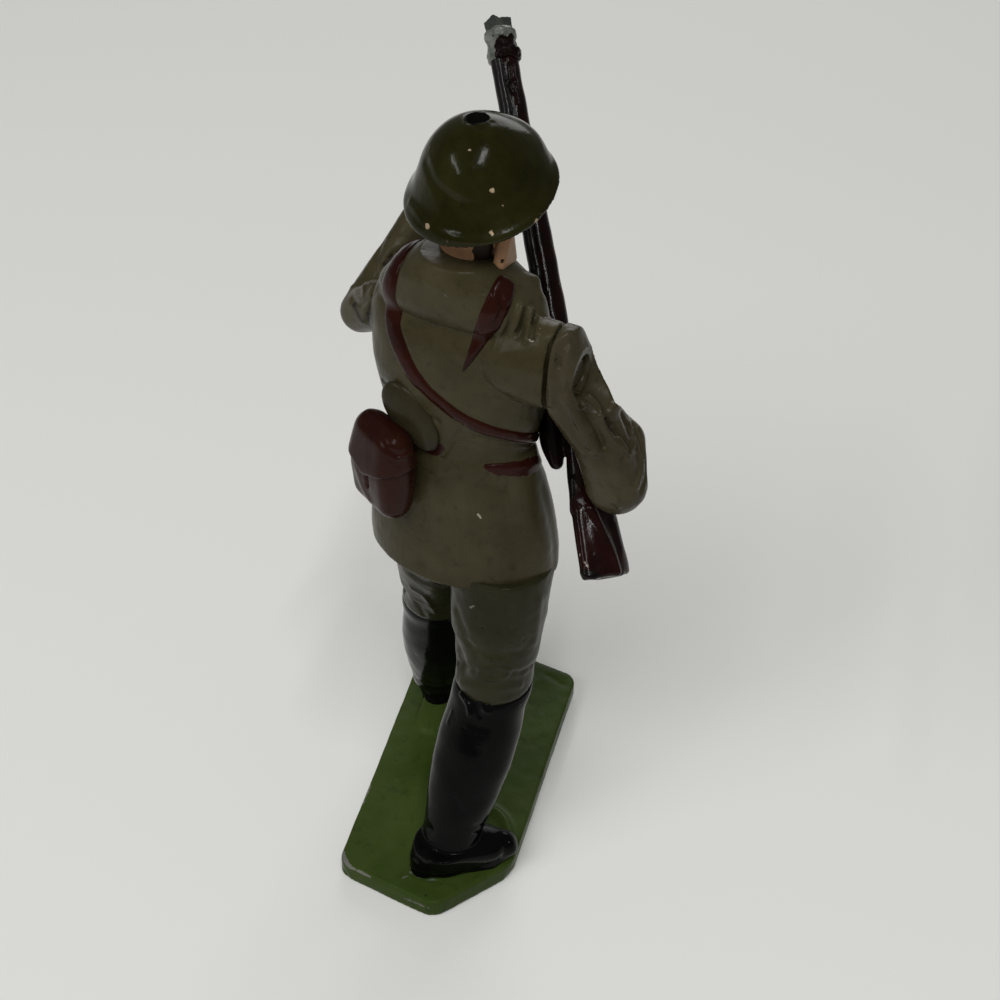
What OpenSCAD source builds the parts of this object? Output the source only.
// Toy foot soldier, a hollow metal casting on its own base, with a right arm that
// swings on a shoulder stud and carries the rifle.
// Millimetres. The figure faces -Y, its right hand is on the -X side, and the origin
// is the middle of the base's underside. Heights below are measured from the base top.

/* [Base] */
// Length of the base along its sides
base_l = 27; // [24:0.5:34]
// Width across the sides of the base
base_w = 13.2; // [12:0.2:18]
// Thickness of the base
base_t = 1.6; // [1:0.1:3]
// Angle by which both ends of the base run askew
base_skew = 15; // [0:1:20]
// Cut back along the side at the clipped rear corner
clip_l = 6.6; // [2:0.2:8]
// Cut back along the rear edge at the same corner
clip_w = 5.6; // [2:0.2:7]
// How far the clipped side runs in towards the rear
rear_in = 0.8; // [0:0.1:1.4]
// Radius of the other corners of the base
base_corner_r = 0.9; // [0.4:0.1:1.5]

/* [Trunk] */
// Height of the tunic hem
hem_z = 23.9; // [22.5:0.1:25]
// Height of the belt's lower edge
waist_z = 33; // [31:0.2:34]
// Height of the neck seam
neck_z = 43.6; // [43:0.1:44.4]
// Height of the standing collar above that seam
collar_h = 3; // [2.6:0.1:3.2]
// Width of the chest
chest_w = 12.2; // [11.6:0.1:13]
// Depth of the chest from front to back
chest_d = 7.6; // [7:0.1:8.4]
// Width of the skirt at the hem
skirt_w = 13.5; // [12.6:0.1:14]
// Depth of the skirt at the hem
skirt_d = 9.2; // [8.8:0.1:10]
// Angle that the trunk is turned to its right
trunk_turn = 12; // [6:1:16]
// Wall thickness left around the hollow
wall_t = 1.1; // [0.8:0.1:1.4]

/* [Equipment] */
// Width of the belt
belt_w = 1.5; // [1:0.1:2]
// Height by which the belt and straps stand out from the cloth
strap_t = 0.3; // [0.2:0.05:0.5]
// Width of the cross strap
strap_w = 1.15; // [0.8:0.05:1.6]
// Width of the haversack
bag_w = 4.9; // [4:0.1:6]
// Height of the haversack
bag_h = 6.4; // [5:0.1:7]
// Thickness of the haversack
bag_t = 2.9; // [2.4:0.1:3.6]
// Length of the water bottle
bottle_l = 4; // [3.2:0.1:4.8]

/* [Head] */
// Height of the helmet's crown
crown_z = 54.4; // [53.8:0.1:55]
// Width of the helmet over its rim
helmet_w = 9.3; // [9:0.1:10]
// Length of the helmet over its rim
helmet_l = 9.5; // [9:0.1:10]
// Height of the helmet from rim to crown
helmet_h = 4.5; // [4.2:0.1:4.9]
// Angle by which the rim drops to the back
rim_drop = 20; // [12:1:22]
// Thickness of the helmet
helmet_t = 0.7; // [0.5:0.05:0.9]
// Diameter of the casting hole in the crown
hole_d = 1.3; // [0.8:0.05:1.6]
// Width of the head
head_w = 5.8; // [5.4:0.1:6.2]
// Angle that the head is turned to its right
head_turn = 28; // [18:1:34]

/* [Legs] */
// Width of the breeches at the thigh
thigh_w = 7; // [6.2:0.1:7.4]
// Width of the boots at the calf
calf_w = 5.7; // [5:0.1:6]
// Length of the boot's sole
sole_l = 8; // [7.4:0.1:8.6]
// Height of the boot top
boot_z = 14.5; // [13:0.1:15.5]

/* [Arms] */
// Diameter of the shoulder stud
stud_d = 2.1; // [1.6:0.05:2.4]
// Radial clearance of the sleeve on the stud
stud_fit = 0.06; // [0.03:0.01:0.1]
// Gap between the trunk and the moving sleeve
arm_gap = 0.15; // [0.1:0.01:0.3]
// Thickness of the moving sleeve at the shoulder
arm_t = 2; // [1.8:0.1:2.2]
// Width of the moving sleeve from front to back
arm_w = 4.2; // [3.8:0.1:4.6]

/* [Rifle] */
// Length of the rifle from butt to muzzle
rifle_l = 38; // [34:0.5:40]
// Thickness of the fore-end
fore_d = 1.9; // [1.6:0.05:2.2]
// Depth of the butt
butt_h = 3.9; // [3.5:0.1:4.3]
// Angle of the rifle above the horizontal
rifle_rise = 44; // [41:1:46]
// Angle that the rifle's top leans to the figure's left
rifle_cant = 65; // [50:1:75]
// Angle of the rifle to the figure's left
rifle_turn = 29.5; // [27:0.5:32]

/* [Hidden] */

// Sides of a ring, and of a bead at a limb's joint
ring_sides = 24;
bead_sides = 16;
// Sides of the round fits
fit_sides = 64;
// Thickness of one slice of a skin, and overrun of a cut
slice_t = strap_t / 12;
over = wall_t;

// Skins of the figure are lists of rings, each ring a centre and two half sizes.
// Every table below holds shares: of the height first, then of the width and depth.
chest_shares = [
    [0, 0.80, 0.84], [0.14, 0.84, 0.88], [0.30, 0.93, 0.95], [0.48, 1, 1],
    [0.66, 1.01, 0.97], [0.80, 1.01, 0.88], [0.90, 0.93, 0.76], [0.97, 0.77, 0.60],
    [1, 0.60, 0.48]
];
skirt_shares = [
    [0, 1, 1], [0.12, 1, 0.99], [0.30, 0.98, 0.95], [0.50, 0.94, 0.90],
    [0.70, 0.87, 0.82], [0.86, 0.79, 0.74], [1, 0.75, 0.69]
];
boot_shares = [
    [0.16, 0.74, 0.74], [0.28, 0.80, 0.80], [0.42, 0.92, 0.92], [0.58, 1, 1],
    [0.74, 1, 1], [0.90, 0.95, 0.95], [1, 0.97, 0.97]
];
thigh_shares = [
    [-0.06, 0.66, 0.70], [0.10, 0.74, 0.78], [0.30, 0.84, 0.86], [0.55, 0.93, 0.94],
    [0.80, 0.99, 0.98], [1, 1, 1]
];
helmet_shares = [
    [0, 1, 1, 0], [0.06, 0.985, 0.985, 0], [0.20, 0.85, 0.88, -0.04], [0.36, 0.76, 0.81, -0.06],
    [0.55, 0.69, 0.75, -0.07], [0.72, 0.59, 0.65, -0.08], [0.86, 0.45, 0.48, -0.08],
    [0.95, 0.29, 0.31, -0.08], [0.99, 0.15, 0.16, -0.08], [1, 0.06, 0.07, -0.08]
];
collar_shares = [
    [0, 2.98, 1.58], [0.14, 3, 1.68], [0.32, 2.84, 1.74], [0.60, 2.34, 1.66], [0.84, 1.76, 1.48],
    [1, 1.32, 1.30]
];
face_shares = [
    [0, 0.30, 0.26, -0.30], [0.06, 0.50, 0.44, -0.25], [0.20, 0.74, 0.76, -0.13],
    [0.36, 0.88, 0.96, -0.04], [0.52, 0.96, 1.04, 0], [0.70, 1, 1.06, -0.02],
    [0.86, 0.84, 0.88, -0.05], [0.96, 0.52, 0.56, -0.06], [1, 0.26, 0.30, -0.06]
];

// Where the trunk stands over the base
trunk_at = [base_w * 0.045, base_l * 0.05, 0];
chest_h = neck_z - waist_z;
collar_drop = chest_w * 0.075;
skirt_h = waist_z - hem_z;
// Where the head sits on the trunk, and the chin's height
head_at = [-base_w * 0.004, base_l * 0.018, 0];
head_h = head_w * 1.24;
head_z = crown_z - helmet_t - head_h;
neck_d = head_w * 0.64;
rim_z = crown_z - helmet_h;

// Joints of the left arm, as shares of the chest's width from the neck seam
left_arm_shares = [[0.35, -0.03, -0.17], [0.69, -0.17, -0.42], [0.49, -0.70, 0.12]];
left_arm_r = [for (share = [0.165, 0.118, 0.098]) chest_w * share];
left_hand_shares = [[0.44, -0.78, 0.125], [0.30, -0.88, 0.13], [0.19, -0.95, 0.13]];
// Joints of the right arm, the stud's place first
stud_shares = [0, 0.105, -0.221];
right_arm_shares = [
    [-0.80, 0.06, -0.605], [-0.905, 0.025, -0.885], [-0.875, -0.10, -0.70], [-0.62, -0.28, -0.68]
];
right_arm_r = [for (share = [0.41, 0.47, 0.33, 0.28]) arm_w * share];
grip_shares = [-0.425, -0.365, -0.623];
shoulder_x = chest_w * 0.56;
stud_l = arm_gap + arm_t * 0.72;

// Distance from the butt to the grip, to the fore-end's tip and to the band's end
grip_l = rifle_l * 0.345;
fore_l = rifle_l * 0.915;
band_l = rifle_l * 0.972;

function at_neck(share) = [share[0] * chest_w, share[1] * chest_w, neck_z + share[2] * chest_w];
function mix(a, b, t) = a + (b - a) * t;
// Rings of a skin from one place to another, from a table of shares
function rings(from, to, w, d, shares, grow = 0) = [
    for (s = shares) [mix(from, to, s[0]) + [0, len(s) > 3 ? s[3] * d / 2 : 0, 0],
        s[1] * w / 2 + grow, s[2] * d / 2 + grow]
];

module slice(ring, turn = 0) {
    translate(ring[0]) rotate([-turn, 0, 0]) linear_extrude(slice_t)
        scale([ring[1], ring[2]]) circle(1, $fn = ring_sides);
}
module skin(list, turns = []) {
    for (i = [1 : len(list) - 1]) hull() {
        slice(list[i - 1], len(turns) > 0 ? turns[i - 1] : 0);
        slice(list[i], len(turns) > 0 ? turns[i] : 0);
    }
}
// Round limb through a list of joints with a radius at each
module limb(joints, radii) {
    for (i = [1 : len(joints) - 1]) hull() {
        translate(joints[i - 1]) sphere(radii[i - 1], $fn = bead_sides);
        translate(joints[i]) sphere(radii[i], $fn = bead_sides);
    }
}
module bead(place, size, turn = [0, 0, 0]) {
    translate(place) rotate(turn) scale(size / 2) sphere(1, $fn = bead_sides);
}
// Lifts what it holds on to the base, and turns it with the trunk or the head
module standing() translate([0, 0, base_t]) children();
module with_trunk() standing() translate(trunk_at) rotate(-trunk_turn) children();
module with_head() standing() translate(head_at) rotate(-head_turn) children();
// The head's place as the trunk sees it
module head_on_trunk() rotate(trunk_turn) translate(head_at - trunk_at) rotate(-head_turn) children();

// Outlines in plan and in back view. An outline holds only the points it needs.
base_rise = base_w / 2 * tan(base_skew);
base_corners = [
    [base_w / 2, base_l / 2 - base_rise], [base_w / 2, -base_l / 2 - base_rise],
    [-base_w / 2, -base_l / 2 + base_rise], [-base_w / 2 + rear_in, base_l / 2 + base_rise - clip_l],
    [-base_w / 2 + clip_w * cos(base_skew), base_l / 2 + base_rise - clip_w * sin(base_skew)]
];
corner_steps = 6;
function unit(v) = v / norm(v);
function curve(a, b, c, t) = a * (1 - t) ^ 2 + b * 2 * t * (1 - t) + c * t ^ 2;
// An outline with each corner drawn round
function rounded(points, r) = [
    for (i = [0 : len(points) - 1])
        let (c = points[i], n = len(points),
            a = c + unit(points[(i + n - 1) % n] - c) * r, b = c + unit(points[(i + 1) % n] - c) * r)
            for (k = [0 : corner_steps]) curve(a, c, b, k / corner_steps)
];
// A strap in back view: its middle line in shares of the chest, and its two edges
strap_shares = [[0.26, 1.30], [0.34, 1.12], [0.39, 0.96], [0.36, 0.84], [0.215, 0.66], [0.03, 0.485],
    [-0.18, 0.345], [-0.32, 0.265], [-0.45, 0.20], [-0.60, 0.15]];
short_strap_shares = [[-0.28, 1.24], [-0.30, 1.12], [-0.285, 1.02], [-0.24, 0.90], [-0.165, 0.77]];
function chest_points(shares) = [for (s = shares) [s[0] * chest_w, waist_z + s[1] * chest_h]];
function across(p, i) = let (d = unit(p[min(i + 1, len(p) - 1)] - p[max(i - 1, 0)])) [-d[1], d[0]];
function edge(p, w, taper) = [for (i = [0 : len(p) - 1])
    p[i] + across(p, i) * w / 2 * (1 - taper * i / (len(p) - 1))];
function reversed(list) = [for (i = [len(list) - 1 : -1 : 0]) list[i]];
function strip(p, w, taper = 0) = concat(edge(p, w, taper), reversed(edge(p, -w, taper)));

// Places of the feet: the heel, the way that the toes point, and the boot's top
left_heel_shares = [0.285, -0.175];
left_toe_turn = 4;
left_top_shares = [0.225, -0.105];
left_hip_shares = [0.125, 0.03];
right_heel_shares = [0.098, 0.413];
right_toe_turn = -62;
right_top_shares = [-0.225, 0.165];
right_hip_shares = [-0.215, 0.105];
function on_base(share, z = 0) = [share[0] * base_w, share[1] * base_l, z];
function toes(turn) = [sin(turn), -cos(turn), 0];

// Forms, each whole, that the nodes below cut from one another
module chest_form(grow = 0) {
    skin(rings([0, 0, waist_z], [0, 0, neck_z + grow], chest_w, chest_d, chest_shares, grow));
}
module skirt_form(grow = 0) {
    skin(rings([-skirt_w * 0.035, 0, hem_z], [0, 0, waist_z - slice_t],
        skirt_w, skirt_d, skirt_shares, grow));
}
module belt_form() {
    intersection() {
        skirt_form(strap_t);
        translate([0, 0, waist_z - belt_w - slice_t]) cylinder(belt_w, r = chest_w);
    }
}
module strap_form(outline, reach = chest_d * 2) {
    intersection() {
        union() {
            chest_form(strap_t);
            collar_form(strap_t);
        }
        translate([0, chest_d, 0]) rotate([90, 0, 0]) linear_extrude(reach) polygon(outline);
    }
}
module foot_form(heel, turn) {
    back = heel + toes(turn) * sole_l * 0.14;
    ankle = heel + toes(turn) * sole_l * 0.30;
    ball = heel + toes(turn) * sole_l * 0.70;
    tip = heel + toes(turn) * sole_l * 0.86;
    hull() {
        translate(back) cylinder(calf_w * 0.30, r = sole_l * 0.14, $fn = ring_sides);
        translate(ball) cylinder(calf_w * 0.18, r = sole_l * 0.17, $fn = ring_sides);
    }
    hull() {
        translate(ball) cylinder(calf_w * 0.30, r = sole_l * 0.16, $fn = ring_sides);
        bead(tip + [0, 0, calf_w * 0.19], calf_w * [0.40, 0.40, 0.38]);
    }
    hull() {
        translate(back) cylinder(calf_w * 0.36, r = sole_l * 0.13, $fn = ring_sides);
        translate(ankle) cylinder(calf_w * 0.36, r = sole_l * 0.17, $fn = ring_sides);
        translate(ankle + [0, 0, boot_z * 0.18]) cylinder(slice_t, d = calf_w * 0.74, $fn = ring_sides);
        bead(ball + [0, 0, calf_w * 0.26], calf_w * [0.56, 0.56, 0.40]);
    }
}
module boot_form(heel, turn, top) {
    ankle = heel + toes(turn) * sole_l * 0.30;
    intersection() {
        union() {
            foot_form(heel, turn);
            skin(rings(ankle, top + [0, 0, boot_z], calf_w, calf_w, boot_shares));
        }
        translate([-base_l, -base_l, 0]) cube([base_l * 2, base_l * 2, hem_z]);
    }
}
module left_boot_form()
    boot_form(on_base(left_heel_shares), left_toe_turn, on_base(left_top_shares));
module right_boot_form()
    boot_form(on_base(right_heel_shares), right_toe_turn, on_base(right_top_shares));
module breeches_form(top, hip)
    skin(rings(top + [0, 0, boot_z], hip + [0, 0, hem_z], thigh_w, thigh_w, thigh_shares));
module left_breeches_form()
    breeches_form(on_base(left_top_shares), on_base(left_hip_shares));
module right_breeches_form()
    breeches_form(on_base(right_top_shares), on_base(right_hip_shares));
// Low swell of the base around a foot, from one place to another
module ramp_form(from, to, h, r) {
    intersection() {
        hull() {
            translate(from) cylinder(h, r1 = r, r2 = r * 0.7, $fn = ring_sides);
            translate(to) cylinder(h * 0.4, r1 = r, r2 = r * 0.8, $fn = ring_sides);
        }
        linear_extrude(base_t) offset(delta = -slice_t) polygon(base_corners);
    }
}
module head_form() {
    skin(rings([0, 0, head_z], [0, 0, head_z + head_h], head_w, head_w, face_shares));
    // Neck, nose and ears
    hull() {
        translate([0, head_w * 0.06, neck_z - collar_drop])
            cylinder(slice_t, d = neck_d, $fn = ring_sides);
        translate([0, head_w * 0.08, head_z + head_h * 0.3])
            cylinder(slice_t, d = neck_d, $fn = ring_sides);
    }
    hull() {
        bead([0, -head_w * 0.50, head_z + head_h * 0.50], head_w * [0.10, 0.16, 0.14]);
        bead([0, -head_w * 0.55, head_z + head_h * 0.36], head_w * [0.17, 0.22, 0.13]);
    }
    for (side = [-1, 1])
        bead([side * head_w * 0.45, head_w * 0.06, head_z + head_h * 0.36],
            head_w * [0.18, 0.26, 0.34]);
}
module helmet_form() {
    skin(rings([0, 0, rim_z], [0, 0, crown_z], helmet_w, helmet_l, helmet_shares),
        [for (s = helmet_shares) rim_drop * (1 - s[0])]);
}
// The helmet is solid above the cup under its brim, and the head ends at the cup's ceiling
module from_ceiling() translate([0, 0, rim_z]) rotate([-rim_drop, 0, 0])
    translate([0, 0, helmet_h * 0.24]) children();
module cup_form() hull() {
    from_ceiling() scale([helmet_w * 0.425 - helmet_t, helmet_l * 0.445 - helmet_t, 1])
        cylinder(slice_t, r = 1, $fn = ring_sides);
    from_ceiling() translate([0, 0, -helmet_h * 0.26])
        scale([helmet_w / 2 - helmet_t, helmet_l / 2 - helmet_t, 1])
            cylinder(slice_t, r = 1, $fn = ring_sides);
}
module bag_frame()
    translate([chest_w * 0.275, chest_d * 0.585, waist_z - bag_h * 0.16]) rotate(-28) children();
module bag_body(w, h, t) {
    hull() for (side = [-1, 1]) {
        bead([side * (w / 2 - t * 0.35), 0, -h / 2 + t * 0.38], [t * 0.7, t * 0.86, t * 0.76]);
        bead([side * (w / 2 - t * 0.45), 0, h / 2 - t * 0.34], [t * 0.7, t * 0.72, t * 0.68]);
        bead([side * (w / 2 - t * 0.35), 0, 0], [t * 0.7, t, t]);
    }
}
module bag_form() bag_frame() bag_body(bag_w, bag_h, bag_t);
module flap_form() bag_frame() intersection() {
    bag_body(bag_w + strap_t * 2, bag_h + strap_t * 2, bag_t + strap_t * 2);
    translate([-bag_w, -bag_t, bag_h * 0.12]) cube([bag_w * 2, bag_t * 2, bag_h]);
}
module bottle_form()
    bead([chest_w * 0.135, chest_d * 0.46, waist_z + chest_h * 0.28],
        bottle_l * [0.86, 0.52, 1], [0, -12, 0]);
module left_sleeve_form()
    limb([for (s = left_arm_shares) at_neck(s)], left_arm_r);
module left_hand_form()
    limb([for (s = left_hand_shares) at_neck(s)], [for (share = [0.085, 0.085, 0.07]) chest_w * share]);
module collar_form(grow = 0) {
    skin(rings([0, chest_d * 0.02, neck_z - collar_drop], [0, chest_d * 0.09, neck_z + collar_h],
        neck_d, neck_d, collar_shares, grow));
}
// The hollow that the molten metal was poured out of, from the crown to the skirt
module trunk_hollow() {
    chest_form(-wall_t);
    skin(rings([0, 0, hem_z + wall_t], [0, 0, waist_z], skirt_w, skirt_d, skirt_shares, -wall_t));
}
module head_hollow() {
    bead([0, 0, head_z + head_h * 0.62], head_w * [0.6, 0.7, 0.6]);
    translate([0, head_w * 0.06, neck_z - neck_d]) cylinder(head_z + head_h * 0.62 - neck_z + neck_d,
        d = neck_d - wall_t, $fn = ring_sides);
    translate([0, -helmet_l * 0.03, head_z + head_h * 0.62]) cylinder(helmet_h, d = hole_d, $fn = ring_sides);
}

// The arm and rifle share the stud's axis, across the trunk
stud_at = at_neck(stud_shares);
module on_stud() translate(stud_at) rotate([0, -90, 0]) children();
module shoulder_disc(from, thick, w) on_stud() translate([0, 0, from]) hull() {
    cylinder(thick, d = w, $fn = ring_sides);
    translate([arm_w * 0.34, 0, 0]) cylinder(thick, d = w * 0.72, $fn = ring_sides);
    translate([-arm_w * 0.30, 0, 0]) cylinder(thick, d = w * 0.90, $fn = ring_sides);
}
// Rise of the shoulder that the stud stands on
module pad_form() hull() {
    shoulder_disc(shoulder_x - slice_t * 2, slice_t * 2, arm_w * 0.94);
    bead(at_neck([-0.30, 0.06, -0.24]), chest_w * [0.36, 0.46, 0.42]);
}
module arm_form() {
    joints = [for (s = right_arm_shares) at_neck(s)];
    hull() {
        shoulder_disc(shoulder_x + arm_gap, arm_t * 0.75, arm_w);
        shoulder_disc(shoulder_x + arm_gap, arm_t, arm_w * 0.7);
        translate(joints[0]) sphere(right_arm_r[0], $fn = bead_sides);
    }
    limb(joints, right_arm_r);
}
module with_rifle() translate(at_neck(grip_shares)) rotate([-rifle_rise, 0, rifle_turn + trunk_turn])
    rotate([0, rifle_cant, 0]) translate([0, grip_l, 0]) children();
// Rifle rings along -Y from the butt: place, half thickness and half depth
stock_shares = [
    [0, 0.42, 0.46, -0.10], [0.02, 0.50, 0.50, -0.10], [0.15, 0.48, 0.39, -0.08],
    [0.23, 0.40, 0.27, -0.05], [0.28, 0.37, 0.22, -0.02], [0.33, 0.42, 0.24, 0],
    [0.42, 0.48, 0.25, 0], [0.60, 0.48, 0.24, 0], [0.90, 0.46, 0.22, 0], [0.915, 0.44, 0.20, 0]
];
stub_shares = [[-0.42, -0.27], [0.42, -0.32], [0.38, 0.3], [-0.1, 0.2], [-0.44, 0.3]];
module stock_slice(s, grow) {
    translate([0, -s[0] * rifle_l, s[3] * butt_h]) rotate([90, 0, 0]) linear_extrude(slice_t)
        scale([s[1] * fore_d + grow, s[2] * butt_h + grow]) circle(1, $fn = bead_sides);
}
module stock_form(grow = 0) {
    for (i = [1 : len(stock_shares) - 1]) hull() {
        stock_slice(stock_shares[i - 1], grow);
        stock_slice(stock_shares[i], grow);
    }
}
// Barrel along the stock's top
module barrel_form(grow = 0) hull() translate([0, -rifle_l * 0.37, fore_d * 0.33]) rotate([90, 0, 0])
    cylinder(fore_l + slice_t - rifle_l * 0.37, r = fore_d * 0.27 + grow, $fn = bead_sides);
module right_hand_form() {
    grip = at_neck(grip_shares);
    wrist = at_neck(right_arm_shares[3]);
    limb([wrist, grip], [arm_w * 0.25, arm_w * 0.33]);
}

// Sub-parts
module base_plate() {
    color("#4a5e1c") linear_extrude(base_t) polygon(rounded(base_corners, base_corner_r));
}
module left_foot_ramp() {
    color("#556a26") standing() difference() {
        ramp_form(on_base(left_heel_shares) + toes(left_toe_turn) * sole_l * 0.15,
            on_base(left_heel_shares) - toes(left_toe_turn) * sole_l * 0.16, base_t * 0.5, sole_l * 0.17);
        left_boot_form();
    }
}
module right_foot_ramp() {
    // Behind the foot, so that it stays on one side of the sole
    right_rear = on_base(right_heel_shares) + toes(right_toe_turn - 90) * sole_l * 0.09;
    color("#556a26") standing() difference() {
        ramp_form(right_rear + toes(right_toe_turn) * sole_l * 0.52,
            right_rear + toes(right_toe_turn) * sole_l * 0.26, base_t * 0.3, sole_l * 0.2);
        right_boot_form();
    }
}
module left_boot() {
    color("#0b0b0b") standing() left_boot_form();
}
module right_boot() {
    color("#0b0b0b") standing() right_boot_form();
}
module left_breeches() {
    color("#2b2a1a") standing() difference() {
        left_breeches_form();
        left_boot_form();
        right_breeches_form();
        translate(trunk_at) rotate(-trunk_turn) skirt_form();
    }
}
module right_breeches() {
    color("#2b2a1a") standing() difference() {
        right_breeches_form();
        right_boot_form();
        translate(trunk_at) rotate(-trunk_turn) skirt_form();
    }
}
module tunic_skirt() {
    color("#3a3222") with_trunk() difference() {
        skirt_form();
        trunk_hollow();
        bag_form();
        flap_form();
    }
}
module tunic_body() {
    color("#3a3222") with_trunk() difference() {
        union() {
            chest_form();
            pad_form();
        }
        trunk_hollow();
        head_on_trunk() head_hollow();
        collar_form();
        bag_form();
        flap_form();
        bottle_form();
    }
}
module waist_belt() {
    color("#25120b") with_trunk() difference() {
        belt_form();
        skirt_form();
        bag_form();
        flap_form();
        bottle_form();
    }
}
module cross_strap() {
    color("#2a1711") with_trunk() difference() {
        strap_form(strip(chest_points(strap_shares), strap_w));
        chest_form();
        collar_form();
        bottle_form();
        bag_form();
        flap_form();
        left_sleeve_form();
    }
}
module shoulder_strap() {
    color("#2a1711") with_trunk() difference() {
        strap_form(strip(chest_points(short_strap_shares), strap_w * 1.4, 0.9), chest_d);
        chest_form();
        pad_form();
        collar_form();
        head_on_trunk() head_form();
    }
}
module haversack() {
    color("#2c1d14") with_trunk() difference() {
        bag_form();
        flap_form();
    }
}
module haversack_flap() {
    color("#342016") with_trunk() flap_form();
}
module water_bottle() {
    color("#38331f") with_trunk() difference() {
        bottle_form();
        bag_form();
        flap_form();
        trunk_hollow();
    }
}
module left_sleeve() {
    color("#3a3425") with_trunk() difference() {
        left_sleeve_form();
        chest_form();
        collar_form();
    }
}
module left_hand() {
    color("#6a5440") with_trunk() difference() {
        left_hand_form();
        left_sleeve_form();
        with_rifle() stock_form(arm_gap);
        with_rifle() barrel_form(arm_gap);
    }
}
module tunic_collar() {
    color("#3a3222") with_trunk() difference() {
        collar_form();
        head_on_trunk() head_form();
        head_on_trunk() head_hollow();
    }
}
module head() {
    color("#6a5440") with_head() difference() {
        head_form();
        from_ceiling() cylinder(helmet_h, r = helmet_w, $fn = ring_sides);
        head_hollow();
    }
}
module helmet() {
    color("#1d1b09") with_head() difference() {
        helmet_form();
        cup_form();
        head_hollow();
    }
}
module shoulder_stud() {
    color("#3a3222") with_trunk() on_stud() translate([0, 0, shoulder_x])
        cylinder(stud_l, d = stud_d, $fn = fit_sides);
}
module right_sleeve() {
    color("#3d372b") with_trunk() difference() {
        arm_form();
        on_stud() translate([0, 0, shoulder_x - over])
            cylinder(arm_t + over * 3, d = stud_d + stud_fit * 2, $fn = fit_sides);
    }
}
module right_hand() {
    color("#6a5440") with_trunk() difference() {
        right_hand_form();
        arm_form();
        with_rifle() stock_form();
        with_rifle() barrel_form();
    }
}
module rifle_stock() {
    color("#1b120f") with_trunk() difference() {
        with_rifle() stock_form();
        with_rifle() barrel_form();
        arm_form();
    }
}
module rifle_barrel() {
    color("#0f0d0c") with_trunk() with_rifle() barrel_form();
}
module muzzle_band() {
    color("#8d8f90") with_trunk() with_rifle() translate([0, -fore_l - slice_t, 0]) rotate([90, 0, 0])
        cylinder(band_l - fore_l, d = fore_d * 1.22, $fn = ring_sides);
}
module bayonet_stub() {
    color("#55565a") with_trunk() with_rifle() translate([0, -band_l - slice_t, 0]) rotate([90, 0, 0])
        linear_extrude(rifle_l - band_l) polygon([for (share = stub_shares) share * fore_d]);
}

base_plate();
left_foot_ramp();
right_foot_ramp();
left_boot();
right_boot();
left_breeches();
right_breeches();
tunic_skirt();
tunic_body();
waist_belt();
cross_strap();
shoulder_strap();
haversack();
haversack_flap();
water_bottle();
left_sleeve();
left_hand();
tunic_collar();
head();
helmet();
shoulder_stud();
right_sleeve();
right_hand();
rifle_stock();
rifle_barrel();
muzzle_band();
bayonet_stub();
